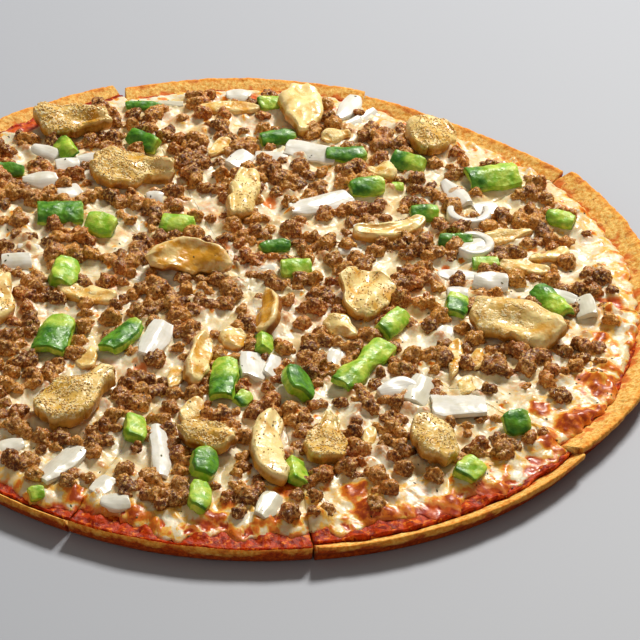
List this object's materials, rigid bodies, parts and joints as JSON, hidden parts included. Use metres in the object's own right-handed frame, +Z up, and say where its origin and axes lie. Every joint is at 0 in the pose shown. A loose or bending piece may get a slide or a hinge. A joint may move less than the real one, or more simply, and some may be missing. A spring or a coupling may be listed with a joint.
{
  "type": "pan pizza",
  "caption": "Round thin pan pizza cut into slices, with melted cheese, crumbled beef, mushroom, green pepper and white onion.",
  "frame": {"origin": "on the underside of the crust, at the middle of the round", "axes": "+Z up out of the topped side; +Y away from the picture's viewer, +X to the viewer's right"},
  "size_m": [0.3561, 0.3584, 0.0227],
  "materials": {
    "crust": "baked golden brown, dry and porous",
    "sauce": "dark red, wet",
    "cheese": "melted, oily, browned in spots; the beef on it is brown",
    "mushroom": "cooked, moist, seasoned on top",
    "pepper": "glossy green skin, lime flesh",
    "onion": "moist, white, slightly clear"
  },
  "bodies": {
    "root": {"crust_01": "crust", "crust_02": "crust", "crust_03": "crust", "crust_04": "crust", "crust_05": "crust", "crust_06": "crust", "crust_07": "crust", "crust_08": "crust", "crust_09": "crust", "crust_10": "crust", "sauce_01": "sauce", "sauce_02": "sauce", "sauce_03": "sauce", "sauce_04": "sauce", "sauce_05": "sauce", "sauce_06": "sauce", "sauce_07": "sauce", "sauce_08": "sauce", "sauce_09": "sauce", "sauce_10": "sauce", "cheese_01": "cheese", "cheese_02": "cheese", "cheese_03": "cheese", "cheese_04": "cheese", "cheese_05": "cheese", "cheese_06": "cheese", "cheese_07": "cheese", "cheese_08": "cheese", "cheese_09": "cheese", "cheese_10": "cheese", "mushroom_01": "mushroom", "mushroom_02": "mushroom", "mushroom_03": "mushroom", "mushroom_04": "mushroom", "mushroom_05": "mushroom", "mushroom_06": "mushroom", "mushroom_07": "mushroom", "mushroom_08": "mushroom", "mushroom_09": "mushroom", "mushroom_10": "mushroom", "mushroom_11": "mushroom", "mushroom_12": "mushroom", "mushroom_13": "mushroom", "mushroom_14": "mushroom", "mushroom_15": "mushroom", "mushroom_16": "mushroom", "mushroom_17": "mushroom", "pepper_01": "pepper", "pepper_02": "pepper", "pepper_03": "pepper", "pepper_04": "pepper", "pepper_05": "pepper", "pepper_06": "pepper", "pepper_07": "pepper", "onion_01": "onion", "onion_02": "onion", "onion_03": "onion", "onion_04": "onion", "onion_05": "onion", "onion_06": "onion"}
  },
  "joints": []
}
